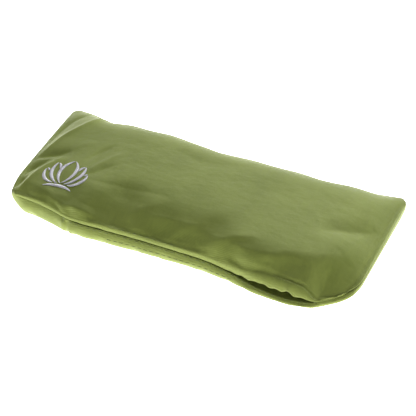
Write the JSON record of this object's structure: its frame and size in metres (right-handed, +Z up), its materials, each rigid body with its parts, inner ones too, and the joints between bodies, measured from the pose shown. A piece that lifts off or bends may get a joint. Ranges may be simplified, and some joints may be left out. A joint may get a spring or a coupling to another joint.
{
  "type": "eye pillow",
  "caption": "Weighted eye pillow: a satin slip cover with a small embroidered lotus, and inside it a seed-filled cotton bag that slides out of the open long side.",
  "frame": {"origin": "centre of the footprint's bounding box, on the surface that the pillow lies on", "axes": "+X along the pillow, with the embroidery at the -X end; +Y from the open long side to the sewn one; +Z up"},
  "size_m": [0.222, 0.104, 0.025],
  "materials": {
    "satin": "olive green polyester satin with a soft sheen",
    "fastener_tape": "woven nylon hook-and-loop tape, matt",
    "cover_thread": "polyester sewing thread in the colour of the satin",
    "embroidery_thread": "white rayon embroidery thread, glossy",
    "stabiliser": "white non-woven tear-away stabiliser, matt",
    "cotton": "plain-woven unbleached cotton, matt",
    "cotton_thread": "cotton sewing thread",
    "flax_seed": "smooth brown flax seed",
    "lavender": "dried lavender buds"
  },
  "bodies": {
    "cover": {"cover_top_panel": "satin", "cover_bottom_panel": "satin", "loop_tape": "fastener_tape", "hook_tape": "fastener_tape", "upper_hem_stitching": "cover_thread", "lower_hem_stitching": "cover_thread", "loop_tape_stitching": "cover_thread", "hook_tape_stitching": "cover_thread", "mouth_bar_tacks": "cover_thread", "cover_seam_stitching": "cover_thread", "embroidered_lotus": "embroidery_thread", "embroidery_backing": "stabiliser"},
    "inner_pillow": {"inner_top_panel": "cotton", "inner_bottom_panel": "cotton", "inner_seam_stitching": "cotton_thread", "inner_closing_stitching": "cotton_thread", "flax_seed_fill": "flax_seed", "lavender_buds": "lavender"}
  },
  "joints": [
    {"name": "inner_pillow_slide", "type": "slide", "parent": "cover", "child": "inner_pillow", "axis": [0, -1, 0], "range_m": [0, 0.11], "deforming": ["cover_top_panel", "cover_bottom_panel", "loop_tape", "hook_tape", "upper_hem_stitching", "lower_hem_stitching", "loop_tape_stitching", "hook_tape_stitching", "mouth_bar_tacks", "cover_seam_stitching", "embroidered_lotus", "embroidery_backing"]}
  ]
}
